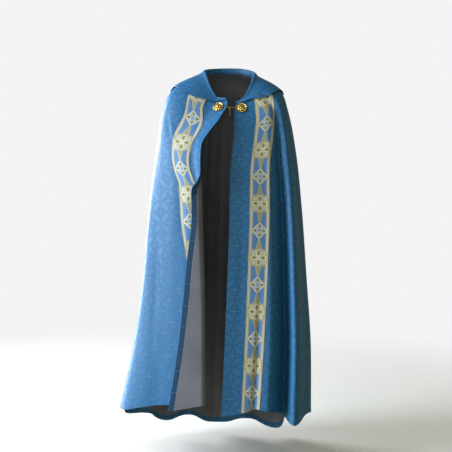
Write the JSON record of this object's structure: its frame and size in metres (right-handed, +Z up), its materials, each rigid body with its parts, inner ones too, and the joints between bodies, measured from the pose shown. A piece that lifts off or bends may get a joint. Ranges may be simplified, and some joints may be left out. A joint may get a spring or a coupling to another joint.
{
  "type": "cope vestment",
  "caption": "Long shoulder cape worn open at the front, with a flat collar, banded fronts, one front edge folded back, and a rosette clasp at the chest.",
  "frame": {"origin": "between the wearer's shoulders, level with the top of the cloth over them, where the wearer holds the garment up", "axes": "+Z up along the garment's length; -Y is the front, where it opens; -X is the wearer's right, where the front is thrown back"},
  "size_m": [0.7774, 0.5752, 1.5289],
  "materials": {
    "brocade": "blue satin-ground brocade with a petal lattice",
    "lining": "plain grey-lavender lining",
    "galloon": "woven cream and gold band with blue grounds",
    "gold_metal": "polished gilt metal"
  },
  "bodies": {
    "root": {"back": "brocade", "front_right": "brocade", "front_left": "brocade", "collar": "brocade", "facing_front_right": "brocade", "hem_facing_back": "brocade", "lining_front_right": "lining", "lining_back": "lining", "galloon_right": "galloon", "galloon_left": "galloon", "rosette_right": "gold_metal", "rosette_left": "gold_metal", "clasp_link": "gold_metal", "clasp_drop": "gold_metal"}
  },
  "joints": []
}
